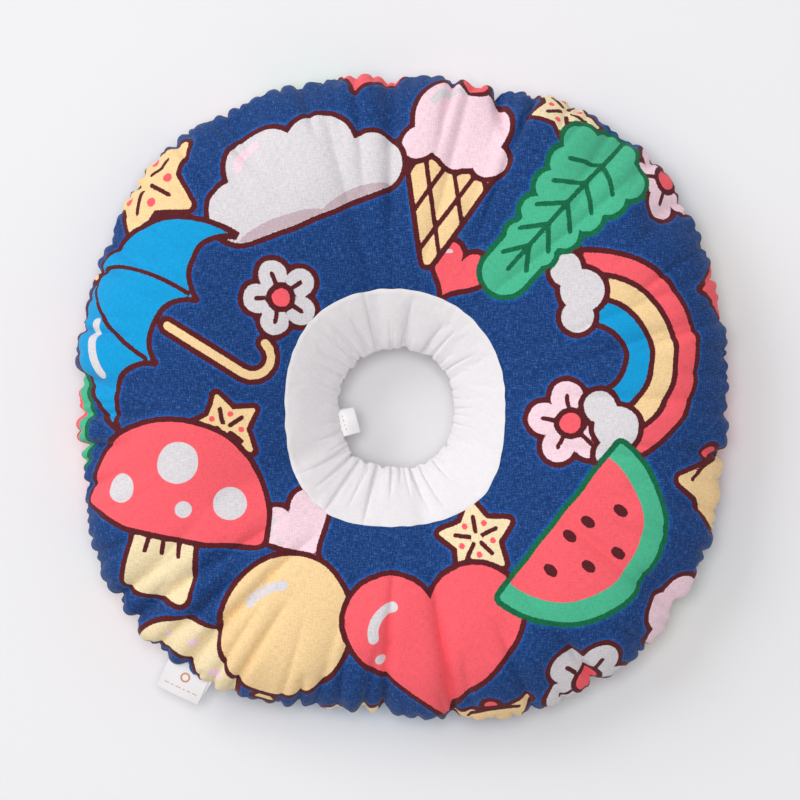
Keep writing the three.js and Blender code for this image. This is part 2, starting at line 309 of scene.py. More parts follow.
def tucked(front, band, back):
    # the seams' rows, a little way in
    front, band, back = front.copy(), band.copy(), back.copy()
    front[:, 0, 0] -= stuffing["rimTuck"]
    back[:, 0] = front[:, 0]
    for cover, row, side in ((front, 0, 1), (back, -1, -1)):
        cover[:, -1, 1] -= side * stuffing["bandTuck"]
        band[:, row] = cover[:, -1]
    return front, band, back


def stuffed(front, band, back):
    # where the pieces' points lie once the shell has swollen
    start, cut = (np.concatenate([a, b[:, 1:-1], c[:, ::-1]], axis=1) for a, b, c in (
        tucked(front, band, back),
        (cutLines(front, cutAway, 1, stuffing["coverEase"]), bandCut(band),
         cutLines(back, cutAway, -1, stuffing["coverEase"]))))
    cut[:, -1] = cut[:, 0]
    rows, seam = start.shape[1], ring["coverRows"] - 1
    elastic = seam + ring["bandRows"] // 2
    still = {0, seam, seam + ring["bandRows"] - 1, rows - 1}
    still |= set(range(elastic - stuffing["elasticRows"], elastic + stuffing["elasticRows"] + 1))
    bm, grid = spunSheet(inSpace(start))
    bmesh.ops.weld_verts(bm, targetmap={grid[n, rows - 1]: grid[n, 0] for n in range(ring["around"])})
    bm.verts.index_update()
    places = {vert.index: place for place, vert in grid.items() if vert.is_valid}
    shell = newPiece("shell", bm)
    shell.shape_key_add(name="stuffed")
    cutKey = shell.shape_key_add(name="cut")
    cutPlaces = inSpace(cut)
    held = shell.vertex_groups.new(name="held")
    for index, place in places.items():
        cutKey.data[index].co = cutPlaces[place]
        if place[1] in still:
            held.add([index], 1.0, "REPLACE")
    cloth = shell.modifiers.new("cloth", "CLOTH")
    facts = cloth.settings
    facts.quality = stuffing["quality"]
    facts.mass = stuffing["mass"]
    facts.tension_stiffness = facts.compression_stiffness = stuffing["stretch"]
    facts.shear_stiffness = stuffing["shear"]
    facts.bending_stiffness = stuffing["bend"]
    facts.use_pressure = True
    facts.uniform_pressure_force = stuffing["pressure"]
    facts.vertex_group_mass = "held"
    facts.rest_shape_key = cutKey
    facts.effector_weights.gravity = 0
    cloth.collision_settings.use_collision = False
    cloth.point_cache.frame_end = stuffing["frames"]
    for number in range(1, stuffing["frames"] + 1):
        bpy.context.scene.frame_set(number)
    swollen = columns(shell.evaluated_get(bpy.context.evaluated_depsgraph_get()).data.vertices, 3)
    was = inSpace(start)
    moved = np.zeros_like(was)
    for index, place in places.items():
        moved[place] = swollen[index] - was[place]
    moved[:, -1] = moved[:, 0]
    bpy.data.objects.remove(shell)
    bpy.context.scene.frame_set(1)
    far = np.linalg.norm(moved, axis=-1, keepdims=True)
    most = np.full((rows, 1), stuffing["coverMost"])
    most[seam:seam + ring["bandRows"]] = stuffing["bandMost"]
    now = was + moved * np.minimum(1, most / np.maximum(far, 1e-9))
    # flat where it lies on the floor
    now[..., 2] = (now[..., 2] + np.hypot(now[..., 2], stuffing["restBend"])) / 2
    print(f"stuffing: points move {np.median(far) / mm:.1f} mm, {(far > most).mean():.1%} of them held back")
    return now[:, :seam + 1], now[:, seam:seam + ring["bandRows"]], now[:, :-seam - 2:-1]


frontPlaces, bandPlaces, backPlaces = stuffed(frontLines, bandLines, backLines)


# Colours and finishes

inks = {
    "navy": "#0b3c7b",
    "paleNavy": "#5f7fb4",  # flecks of bare thread in the navy
    "brightNavy": "#0a5ab0",  # where the navy thins out beside a shape
    "coral": "#ff626d",
    "yellow": "#fbd7a0",
    "cream": "#f8e3b8",
    "green": "#4bbc92",
    "sky": "#069fdc",
    "pink": "#fad9e4",
    "white": "#dfdade",
    "lilac": "#c9b3bb",
    "maroon": "#5a1a20",
    "forest": "#0b6b45",
    "orange": "#d97a2a",
    "grey": "#77737a",
    "undyed": "#f3eff1",
}


def colour(name):
    value = inks.get(name, name)
    parts = [int(value[n:n + 2], 16) / 255 for n in (1, 3, 5)]
    return (*[part / 12.92 if part <= 0.04045 else ((part + 0.055) / 1.055) ** 2.4 for part in parts], 1)


def add(material, kind, inputs={}, **settings):
    # a node with its settings, and its inputs' values or links
    node = material.node_tree.nodes.new("ShaderNode" + kind)
    for name, value in settings.items():
        setattr(node, name, value)
    for name, value in inputs.items():
        if isinstance(value, bpy.types.NodeSocket):
            material.node_tree.links.new(value, node.inputs[name])
        else:
            node.inputs[name].default_value = value
    return node


def newFinish(name, **values):
    material = bpy.data.materials.new(name)
    material.use_nodes = True
    shader = material.node_tree.nodes["Principled BSDF"]
    for key, value in values.items():
        shader.inputs[key].default_value = value
    return material, shader


def ranged(material, value, start, end, low, high):
    # low at the range's start, high at its end
    return add(material, "MapRange", {0: value, 1: start, 2: end, 3: low, 4: high}).outputs[0]


def summed(material, first, second):
    return add(material, "Math", {0: first, 1: second}, operation="ADD").outputs[0]


def mixed(material, share, first, second):
    # a blend of two colours
    return add(material, "Mix", {0: share, 6: first, 7: second}, data_type="RGBA").outputs[2]


cotton = {
    "cutSpan": 350.0,  # mm of the cut that the covers' UV map takes in
    "thread": 0.5,  # mm between threads; the real ones, 0.3 mm, are too fine to show
    "slub": 3.0,  # mm, how long a thread keeps one shade
    "fleck": 0.6,  # mm across a fleck of bare thread; the real ones are too fine to show
    "fleckMost": 0.4,  # how bare the thread is there
    "darkGrain": 1.1,  # how much the threads' shades differ on a dark dye
    "paleGrain": 0.4,
    "wobble": 0.16,  # mm, how far the threads carry a print's edge to either side
    "edge": 0.12,  # mm, half of the width over which a print's edge fades
    "halo": 1.6,  # mm over which the navy beside a shape is brighter
    "haloMost": 0.85,
    "bump": 0.12 * mm,
}


def threads(material, place, thread, slub):
    # crossing threads, each of its own shade: a value round 1, from 0 to 2
    lines = []
    for scale in ((1 / thread, 1 / slub, 1), (1 / slub, 1 / thread, 1)):
        stretched = add(material, "VectorMath", {0: place, 1: scale}, operation="MULTIPLY").outputs[0]
        lines.append(add(material, "TexNoise", {"Vector": stretched, "Scale": 1.0, "Detail": 2.0}).outputs[0])
    return summed(material, *lines)


def millimetres(material, span):
    # the place on the cloth, in mm, from the UV map that follows it
    uv = add(material, "UVMap", uv_map="OFBake").outputs[0]
    return add(material, "VectorMath", {0: uv, 1: (span[0], span[1], 1)}, operation="MULTIPLY").outputs[0]


def printedCottonFinish():
    # plain-weave cotton, reactive-printed: matt, with pale thread showing through the navy like heather
    material, shader = newFinish("printedCotton", Roughness=0.88)
    shader.inputs["Specular IOR Level"].default_value = 0.25
    shader.inputs["Sheen Weight"].default_value = 0.12
    shader.inputs["Sheen Roughness"].default_value = 0.5
    place = millimetres(material, (cotton["cutSpan"], cotton["cutSpan"]))
    weave = threads(material, place, cotton["thread"], cotton["slub"])
    speck = add(material, "TexNoise", {"Vector": place, "Scale": 1 / cotton["fleck"], "Detail": 2.0}).outputs[0]
    wobble = summed(material, weave, -1.0)
    wobble = add(material, "Math", {0: wobble, 1: cotton["wobble"] * 3}, operation="MULTIPLY").outputs[0]

    def inside(layer):
        away = add(material, "Attribute", attribute_name=layer + "Edge").outputs["Fac"]
        return ranged(material, summed(material, away, wobble), -cotton["edge"], cotton["edge"], 1.0, 0.0)

    away = add(material, "Attribute", attribute_name="shapeEdge").outputs["Fac"]
    away = summed(material, away, -printing["outline"] / 2)
    halo = ranged(material, away, 0.0, cotton["halo"], cotton["haloMost"], 0.0)
    ground = mixed(material, halo, colour("navy"), colour("brightNavy"))
    grain = summed(material, weave, speck)
    flecks = ranged(material, grain, 1.5, 1.95, 0.0, cotton["fleckMost"])
    ground = mixed(material, flecks, ground, colour("paleNavy"))
    for layer in ("shape", "spot", "line"):
        dye = add(material, "Attribute", attribute_name=layer + "Colour").outputs["Color"]
        ground = mixed(material, inside(layer), ground, dye)
    lightness = add(material, "RGBToBW", {0: ground}).outputs[0]
    contrast = ranged(material, lightness, 0.05, 0.3, cotton["darkGrain"], cotton["paleGrain"])
    grain = summed(material, grain, -1.5)
    shade = add(material, "Math", {0: grain, 1: contrast, 2: 1.0}, operation="MULTIPLY_ADD").outputs[0]
    shaded = add(material, "Mix", {0: 1.0, 6: ground, 7: shade},
                 data_type="RGBA", blend_type="MULTIPLY").outputs[2]
    bump = add(material, "Bump", {"Height": weave, "Strength": 0.5, "Distance": cotton["bump"]}).outputs[0]
    material.node_tree.links.new(shaded, shader.inputs["Base Color"])
    material.node_tree.links.new(bump, shader.inputs["Normal"])
    return material


# The print: a generic one of weather, sweets and plants, laid out on the flat cut. An edge is the distance from
# a shape's edge, negative inside the shape.

def disc(at, x, y, r):
    return np.hypot(at[:, 0] - x, at[:, 1] - y) - r


def oval(at, x, y, across, up, turn=0):
    c, s = math.cos(math.radians(turn)), math.sin(math.radians(turn))
    dx, dy = at[:, 0] - x, at[:, 1] - y
    u, v = (dx * c + dy * s) / across, (dy * c - dx * s) / up
    far = np.hypot(u, v)
    return (far - 1) * far / np.maximum(np.hypot(u / across, v / up), 1e-6)


def bar(at, x1, y1, x2, y2, r=0.0):
    along = np.array([x2 - x1, y2 - y1])
    rel = at - (x1, y1)
    share = np.clip(rel @ along / max(along @ along, 1e-12), 0, 1)
    return np.hypot(*(rel - share[:, None] * along).T) - r


def spoke(at, t, start, end):
    return bar(at, start * math.cos(t), start * math.sin(t), end * math.cos(t), end * math.sin(t))


def polygon(at, corners, r=0.0):
    corners = np.asarray(corners, float)
    nearest = np.full(len(at), np.inf)
    inside = np.zeros(len(at), bool)
    for (x1, y1), (x2, y2) in zip(corners, np.roll(corners, -1, 0)):
        nearest = np.minimum(nearest, bar(at, x1, y1, x2, y2))
        if y1 != y2:
            spans = (y1 > at[:, 1]) != (y2 > at[:, 1])
            inside ^= spans & (at[:, 0] < (x2 - x1) * (at[:, 1] - y1) / (y2 - y1) + x1)
    return np.where(inside, -nearest, nearest) - r


def trail(at, points, r=0.0):
    return np.minimum.reduce([bar(at, *a, *b, r) for a, b in zip(points, points[1:])])


def arc(x, y, r, start, end, steps=10, up=None):
    turn = np.radians(np.linspace(start, end, steps))
    return np.column_stack([x + r * np.cos(turn), y + (up or r) * np.sin(turn)])


def joined(*edges):
    return np.minimum.reduce(edges)


def within(edge, body):
    return np.maximum(edge, body)


def cloud(at, dye, put):
    puffs = [disc(at, -0.33, -0.04, 0.16), disc(at, -0.14, 0.12, 0.2), disc(at, 0.13, 0.1, 0.18),
             disc(at, 0.34, -0.05, 0.15), bar(at, -0.33, -0.1, 0.34, -0.1, 0.1), bar(at, -0.2, 0, 0.2, 0, 0.14)]
    body = joined(*puffs)
    put("shape", body, dye)
    shade = joined(oval(at, -0.18, -0.21, 0.24, 0.085), oval(at, 0.2, -0.21, 0.2, 0.075))
    put("spot", within(shade, body + 0.015), "lilac")
    put("spot", within(trail(at, arc(-0.14, 0.12, 0.13, 95, 165), 0.02), body), "pink")


def heart(at, dye, put):
    t = np.linspace(0, 2 * np.pi, 60, endpoint=False)
    y = 13 * np.cos(t) - 5 * np.cos(2 * t) - 2 * np.cos(3 * t) - np.cos(4 * t) + 2.5
    put("shape", polygon(at, np.column_stack([16 * np.sin(t) ** 3, y]) / 36, 0.03), dye)
    shine = trail(at, arc(-0.19, 0.12, 0.13, 95, 185), 0.028)
    put("spot", joined(shine, disc(at, -0.3, -0.02, 0.028)), "white")


def star(at, dye, put):
    points = np.radians(90 + 36 * np.arange(10))
    away = np.where(np.arange(10) % 2, 0.235, 0.43)
    put("shape", polygon(at, np.column_stack([away * np.cos(points), away * np.sin(points)]), 0.06), dye)
    for t in points[::2]:
        put("line", spoke(at, t, 0.08, 0.26), "maroon")
    put("spot", joined(*[disc(at, 0.2 * math.cos(t), 0.2 * math.sin(t), 0.038) for t in points[1::2]]), "coral")


def leaf(at, dye, put):
    lobes = [disc(at, -0.3 + 0.125 * n, side * (0.125 - 0.0138 * n), 0.105 - 0.0105 * n)
             for n in range(6) for side in (1, -1)]
    put("shape", joined(*lobes, bar(at, -0.38, 0, 0.36, 0, 0.115)), dye, "forest")
    put("line", bar(at, -0.56, 0, 0.34, 0), "forest")
    for n in range(5):
        for side in (1, -1):
            x = -0.3 + 0.125 * n
            put("line", bar(at, x, 0, x + 0.1, side * (0.125 - 0.0145 * n)), "forest")


def mushroom(at, dye, put):
    put("shape", polygon(at, [(-0.12, -0.38), (0.12, -0.38), (0.085, 0.0), (-0.085, 0.0)], 0.06), "cream")
    cap = polygon(at, [*arc(0, -0.03, 0.43, 0, 180, 24), (-0.2, -0.07), (0.2, -0.07)], 0.05)
    put("shape", cap, dye)
    dots = joined(disc(at, -0.02, 0.24, 0.1), disc(at, -0.27, 0.06, 0.07), disc(at, 0.27, 0.1, 0.08),
                  disc(at, 0.06, 0.03, 0.04))
    put("spot", within(dots, cap + 0.01), "white")
    for x in (-0.08, 0.0, 0.08):
        put("line", bar(at, x, -0.2, x * 0.9, -0.13), "maroon")


def umbrella(at, dye, put):
    put("shape", trail(at, [(0, -0.02), (0, -0.4), *arc(0.08, -0.4, 0.08, 180, 350, 8)], 0.03), "yellow")
    top = within(disc(at, 0, -0.07, 0.49), -0.07 - at[:, 1])
    for x in (-0.32, 0, 0.32):
        top = within(top, -disc(at, x, -0.13, 0.168))
    put("shape", top, dye)
    for side in (-1, 1):
        put("line", within(trail(at, arc(0, -0.02, side * 0.165, 0, 90, 12, 0.42)), top), "maroon")
    put("spot", within(trail(at, arc(-0.02, -0.06, 0.36, 112, 150), 0.02), top), "white")
    put("shape", bar(at, 0, 0.43, 0, 0.48, 0.025), "yellow")


def flower(at, dye, put):
    petals = np.radians(np.arange(5) * 72 + 90)
    put("shape", joined(*[disc(at, 0.26 * math.cos(t), 0.26 * math.sin(t), 0.185) for t in petals],
                        disc(at, 0, 0, 0.2)), dye)
    for t in petals:
        put("line", spoke(at, t, 0.17, 0.27), "maroon")
    put("shape", disc(at, 0, 0, 0.13), "coral")


def moon(at, dye, put):
    body = within(disc(at, 0, 0, 0.47), -disc(at, 0.26, 0.1, 0.37))
    put("shape", body - 0.02, dye)
    craters = joined(disc(at, -0.28, 0.06, 0.055), disc(at, -0.17, -0.23, 0.045), disc(at, 0.03, -0.34, 0.03))
    put("spot", within(craters, body), "pink")


def melon(at, dye, put):
    put("shape", polygon(at, arc(0, 0.18, 0.47, 180, 360, 30), 0.03), dye, "forest")
    put("spot", polygon(at, arc(0, 0.19, 0.385, 180, 360, 30), 0.01), "coral")
    for x, y in ((-0.22, 0.08), (-0.09, -0.05), (0.08, 0.08), (0.22, 0.0), (-0.03, 0.11), (0.05, -0.13)):
        put("line", oval(at, x, y, 0.014, 0.026), "maroon")


def bell(at, dye, put):
    put("shape", disc(at, 0, -0.3, 0.09), "coral")
    body = polygon(at, [(-0.33, -0.22), (0.33, -0.22), (0.22, -0.05), *arc(0, 0.14, 0.19, 10, 170, 14),
                        (-0.22, -0.05)], 0.06)
    put("shape", body, dye)
    put("line", within(trail(at, arc(0, 0.16, 0.42, 235, 305, 12)), body), "maroon")
    put("spot", trail(at, arc(0, 0.1, 0.15, 120, 200), 0.022), "white")
    put("shape", disc(at, 0, 0.42, 0.055), dye)


def balloon(at, dye, put):
    put("line", trail(at, [(0, -0.3), (0.03, -0.38), (-0.02, -0.46), (0.02, -0.56)]), "maroon")
    put("shape", polygon(at, [(-0.05, -0.33), (0.05, -0.33), (0, -0.26)], 0.012), dye)
    put("shape", oval(at, 0, 0.06, 0.3, 0.35), dye)
    put("spot", trail(at, arc(0, 0.06, 0.2, 110, 160), 0.022), "white")


def iceCream(at, dye, put):
    cone = polygon(at, [(-0.17, -0.02), (0.17, -0.02), (0.0, -0.44)], 0.03)
    put("shape", cone, "yellow")
    for lean in (-1, 1):
        for n in range(4):
            x = (-0.26 + 0.13 * n) * lean
            put("line", within(bar(at, x, 0.02, x + 0.2 * lean, -0.46), cone), "maroon")
    put("shape", joined(disc(at, 0, 0.2, 0.22), *[disc(at, x, 0.05, 0.085) for x in (-0.16, 0, 0.16)]), dye)
    put("spot", trail(at, arc(0, 0.2, 0.15, 100, 160), 0.018), "white")
    put("shape", disc(at, 0.02, 0.43, 0.07), "coral")


def rainbow(at, dye, put):
    for away, stripe in ((0.49, dye), (0.38, "yellow"), (0.27, "sky")):
        half = within(disc(at, 0, -0.2, away), -0.2 - at[:, 1])
        put("shape", within(half, -disc(at, 0, -0.2, 0.15)), stripe)
    for x in (-0.32, 0.32):
        put("shape", joined(disc(at, x - 0.1, -0.22, 0.085), disc(at, x + 0.01, -0.17, 0.11),
                            disc(at, x + 0.12, -0.22, 0.085)), "white")


# Places are on the flat cut, in mm and degrees round the middle. A later motif lies over an earlier one.
printing = {
    "outline": 2.6,  # width of the line round a shape
    "pen": 2.1,  # width of a line inside one
    "front": table("motif angle away turn size dye", [
        (flower, 40, 166, 20, 46, "pink"),
        (heart, 95, 165, -14, 46, "coral"),
        (star, 138, 156, 24, 58, "yellow"),
        (melon, 184, 164, 66, 62, "green"),
        (moon, 231, 158, 190, 56, "cream"),
        (star, 263, 163, 40, 46, "cream"),
        (flower, 305, 157, -20, 52, "white"),
        (bell, 346, 158, 200, 58, "yellow"),
        (flower, 136, 72, 20, 42, "white"),
        (heart, 232, 70, 30, 38, "pink"),
        (star, 302, 70, 10, 38, "cream"),
        (heart, 66, 67, -30, 32, "coral"),
        (star, 187, 78, 15, 36, "yellow"),
        (flower, 355, 80, 8, 46, "pink"),
        (star, 60, 158, 30, 38, "cream"),
        (bell, 288, 160, -160, 50, "yellow"),
        (cloud, 325, 163, 50, 50, "pink"),
        (heart, 20, 168, -80, 42, "coral"),
        (rainbow, 14, 112, -76, 100, "coral"),
        (leaf, 50, 116, 228, 102, "green"),
        (iceCream, 77, 114, -14, 104, "pink"),
        (cloud, 112, 112, 22, 96, "white"),
        (umbrella, 160, 112, 58, 106, "sky"),
        (mushroom, 205, 112, -12, 94, "coral"),
        (balloon, 244, 118, -18, 100, "yellow"),
        (heart, 280, 112, 8, 88, "coral"),
        (melon, 325, 108, 52, 92, "green"),
    ]),
    "back": table("motif angle away turn size dye", [
        (star, 22, 162, 12, 54, "cream"),
        (cloud, 70, 166, -20, 66, "pink"),
        (flower, 121, 163, 5, 52, "white"),
        (heart, 168, 163, 80, 50, "coral"),
        (melon, 216, 164, 130, 62, "green"),
        (star, 262, 164, 30, 50, "yellow"),
        (bell, 322, 160, -120, 58, "yellow"),
        (flower, 100, 70, 0, 40, "yellow"),
        (heart, 248, 70, 150, 38, "pink"),
        (star, 20, 70, 20, 38, "white"),
        (flower, 318, 72, 40, 42, "pink"),
        (umbrella, 0, 116, -80, 102, "coral"),
        (cloud, 45, 114, -45, 98, "white"),
        (balloon, 80, 118, 4, 100, "pink"),
        (leaf, 106, 120, 280, 100, "green"),
        (rainbow, 144, 112, 54, 98, "coral"),
        (mushroom, 190, 112, 100, 90, "coral"),
        (iceCream, 226, 114, 136, 100, "pink"),
        (umbrella, 266, 112, 176, 98, "sky"),
        (moon, 304, 116, 100, 80, "cream"),
        (leaf, 328, 116, 148, 92, "green"),
    ]),
}


def blankPrint(count):
    dyes = {"shape": "navy", "spot": "white", "line": "maroon"}
    return {layer: {"edge": np.full(count, 1000.0), "colour": np.tile(colour(dye), (count, 1))}
            for layer, dye in dyes.items()}


def press(sheet, layer, near, edge, dye):
    # one shape onto the cloth. A filled shape covers the spots and lines under it.
    over = edge < sheet[layer]["edge"][near]
    if layer == "shape":
        over |= edge < 0
        for covered in ("line", "spot"):
            sheet[covered]["edge"][near] = np.maximum(sheet[covered]["edge"][near], -edge)
    sheet[layer]["colour"][near[over]] = colour(dye)
    sheet[layer]["edge"][near] = np.minimum(sheet[layer]["edge"][near], edge)


def pressMotif(sheet, places, row):
    angle, turn, size = math.radians(row["angle"]), math.radians(row["turn"]), row["size"]
    rel = places - row["away"] * np.array([math.cos(angle), math.sin(angle)])
    near = np.flatnonzero(np.hypot(*rel.T) < 0.7 * size + 12)
    at = rel[near] / size @ np.array([[math.cos(turn), -math.sin(turn)], [math.sin(turn), math.cos(turn)]])

    def put(layer, edge, dye, outline="maroon"):
        press(sheet, layer, near, edge * size - (printing["pen"] / 2 if layer == "line" else 0), dye)
        if layer == "shape":
            press(sheet, "line", near, np.abs(edge) * size - printing["outline"] / 2, outline)

    row["motif"](at, row["dye"], put)


def storePrint(mesh, sheet):
    for layer, facts in sheet.items():
        edges = mesh.attributes.new(layer + "Edge", "FLOAT", "POINT")
        edges.data.foreach_set("value", facts["edge"])
        dyes = mesh.attributes.new(layer + "Colour", "FLOAT_COLOR", "POINT")
        dyes.data.foreach_set("color", facts["colour"].ravel())


def storeMap(mesh, uv, turnEnd=False):
    # one place on the map for each corner of each face. Where a turn ends, its last faces don't run back.
    corners = np.empty(len(mesh.loops), dtype=np.int32)
    mesh.loops.foreach_get("vertex_index", corners)
    placed = uv[corners]
    if turnEnd:
        across = placed[:, 0].reshape(-1, 4)
        across += (across < 0.5) & (np.ptp(across, axis=1) > 0.5)[:, None]
        placed[:, 0] = across.ravel() * 0.99
    layer = mesh.uv_layers.new(name="OFBake")
    layer.uv.foreach_set("vector", placed.ravel())


# Covers

def sewn(name, places, cut, levels):
    bm, _ = spunSheet(places, cut)
    piece = newPiece(name, bm)
    if levels:
        finer = piece.modifiers.new("finer", "SUBSURF")
        finer.levels = finer.render_levels = levels
    applied(piece)
    return piece


def dressed(piece, finish, slot, *nodes):
    piece.data.materials.clear()
    piece.data.materials.append(finish)
    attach(piece, "root")
    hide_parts(*nodes)


# Folds too fine for the stuffed shell. A fold starts at the rim seam and runs in for its reach, or starts at
# the band's elastic and runs out. It sinks by its depth, is about twice its spread across, and leans aside by
# its bow, all in mm.
folds = {
    "narrowing": 1.3,  # how sharp a fold's bottom is
    "fading": 1.6,  # how late along its reach a fold fades
    "widening": 0.1,  # how much wider a fold is at its end
    "deepening": 1.3,  # a cover's fold is deeper on the stuffed face than at the rim
    "most": 4.0,  # spreads to each side within which a fold is worked out
    "puckers": {"pitch": 6.5, "depth": 1.7, "spread": 1.3, "reach": 11.0},  # small ones, all round the rim seam
    "creases": {"pitch": 22.0, "depth": 2.0, "spread": 1.8, "reach": 46.0},
    "slack": {"pitch": 36.0, "depth": 2.2, "spread": 3.6, "reach": 95.0},  # wide and faint
    "lumps": 1.5,  # mm, how uneven the wadding is
    "lumpSize": 26.0,
    "lumpFade": 15.0,  # mm from a seam within which the lumps fade
    "seed": 3,
    "seamWay": 2.5,  # mm from the rim seam within which both covers move the same way
    "seamPull": 20.0,  # how much that way outweighs the cloth's own
    "rows": table("angle depth spread reach bow", [
        (6, 1.7, 1.9, 35, 3),
        (18, 1.6, 1.9, 30, -2),
        (36, 1.7, 1.9, 35, 2),
        (52, 1.9, 2.1, 40, -3),
        (60, 1.4, 1.9, 30, -3),
        (66, 2.8, 1.6, 92, -4),
        (72, 4.6, 1.9, 34, -10),
        (80, 2.3, 1.9, 54, 2),
        (90, 2.8, 2.3, 88, 3),
        (97, 2.0, 2.5, 80, 3),
        (120, 1.6, 2.1, 50, -2),
        (150, 1.7, 2.1, 35, 3),
        (166, 3.5, 1.8, 38, -2),
        (176, 2.6, 2.1, 35, 2),
        (181, 3.8, 2.1, 59, 1),
        (187, 3.5, 1.8, 32, 3),
        (194, 2.3, 1.8, 32, -2),
        (206, 2.2, 1.9, 35, 2),
        (219, 3.6, 2.8, 96, 8),
        (225, 3.4, 2.3, 86, 9),
        (231, 4.6, 2.6, 98, 9),
        (240, 3.2, 2.1, 64, 2),
        (252, 3.8, 1.8, 30, -2),
        (259, 2.6, 1.9, 56, -2),
        (268, 2.9, 2.1, 94, 3),
        (281, 2.2, 2.1, 80, 2),
        (300, 1.6, 1.9, 35, -2),
        (325, 1.7, 2.1, 35, 3),
        (342, 2.3, 1.9, 38, -3),
        (352, 1.9, 1.9, 38, 2),
    ]),
}


def strewn(chance, length, kind):
    # uneven folds of one kind, all round a seam of this length
    count = round(length / kind["pitch"])
    return [{"angle": (n + chance.uniform(-0.4, 0.4)) * 360 / count,
             "depth": kind["depth"] * chance.uniform(0.3, 1.3),
             "spread": kind["spread"] * chance.uniform(0.8, 1.3),
             "reach": kind["reach"] * chance.uniform(0.5, 1.4),
             "bow": kind["reach"] * chance.uniform(-0.12, 0.12)} for n in range(count)]


def folded(angle, away, along, rows, deepening=0):
    # how far the folds sink at places away from the middle, and along from where the folds start
    sink = np.zeros(len(angle))
    for row in rows:
        off = (angle - math.radians(row["angle"]) + math.pi) % (2 * math.pi) - math.pi
        near = np.flatnonzero((along < row["reach"])
                              & (np.abs(off * away) < folds["most"] * row["spread"] + abs(row["bow"])))
        share = np.maximum(along[near] / row["reach"], 0)
        across = off[near] * away[near] - row["bow"] * share ** 2
        across /= row["spread"] * (1 + folds["widening"] * share)
        depth = row["depth"] * (1 - share ** folds["fading"]) * (1 + deepening * share)
        sink[near] += depth * np.exp(-np.abs(across) ** folds["narrowing"])
    return sink


def pressedIn(piece, sink, way=0):
    # moves the points in by so many mm, and not through the floor
    points = columns(piece.data.vertices, 3)
    out = columns(piece.data.vertex_normals, 3, "vector") + way
    points -= out / np.linalg.norm(out, axis=1, keepdims=True) * (sink * mm)[:, None]
    points[:, 2] = np.maximum(points[:, 2], 0.05 * mm)
    piece.data.vertices.foreach_set("co", points.ravel())
    piece.data.update()


def coverFolds(side):
    # the back's folds start where the front's do, at the seam that they share, but run their own way
    chance = np.random.default_rng(folds["seed"])
    around = 2 * math.pi * frontLines[:, 0, 0].mean() / mm
    rows = folds["rows"] + [row for kind in ("puckers", "creases", "slack")
                            for row in strewn(chance, around, folds[kind])]
    return rows if side > 0 else [{**row, "reach": row["reach"] * chance.uniform(0.6, 1.1), "bow": -row["bow"]}
                                  for row in rows]


def creased(piece, flat, side):
    angle, away = np.arctan2(flat[:, 1], flat[:, 0]), np.hypot(*flat.T)
    rim = np.interp(angle, turns, cutAway[:, 0] / mm, period=2 * math.pi)
    inwards = rim - away
    sink = folded(angle, away, inwards, coverFolds(side), folds["deepening"])
    lumps = np.array([noise.noise(Vector((*place, side * 50)) / folds["lumpSize"]) for place in flat])
    sink += folds["lumps"] * lumps * np.clip(np.minimum(inwards, away - away.min()) / folds["lumpFade"], 0, 1)
    outwards = np.column_stack([np.cos(angle), np.sin(angle), np.zeros(len(angle))])
    atSeam = folds["seamPull"] * np.exp(-((inwards / folds["seamWay"]) ** 2))
    pressedIn(piece, sink, outwards * atSeam[:, None])


def printedCover(name, places, rows, side):
    cut = np.concatenate([ways[:, None] * cutAway[..., None], np.zeros((*cutAway.shape, 1))], axis=-1)
    piece = sewn(name, places, cut, 2)
    flat = columns(piece.data.attributes["flat"].data, 3, "vector")[:, :2] / mm
    creased(piece, flat, side)
    sheet = blankPrint(len(flat))
    for row in rows:
        pressMotif(sheet, flat, row)
    storePrint(piece.data, sheet)
    storeMap(piece.data, flat / cotton["cutSpan"] + 0.5)
    print(name, len(piece.data.polygons), "faces, navy over",
          f"{((sheet['shape']['edge'] > 0) & (sheet['line']['edge'] > 0)).mean():.0%}")
    return piece


printedCotton = printedCottonFinish()
frontCover = printedCover("frontCover", frontPlaces, printing["front"], 1)
backCover = printedCover("backCover", backPlaces, printing["back"], -1)
dressed(frontCover, printedCotton, "printed_cotton", "front_cover", "fibre_filling")
dressed(backCover, printedCotton, "printed_cotton", "back_cover")


# Neck band

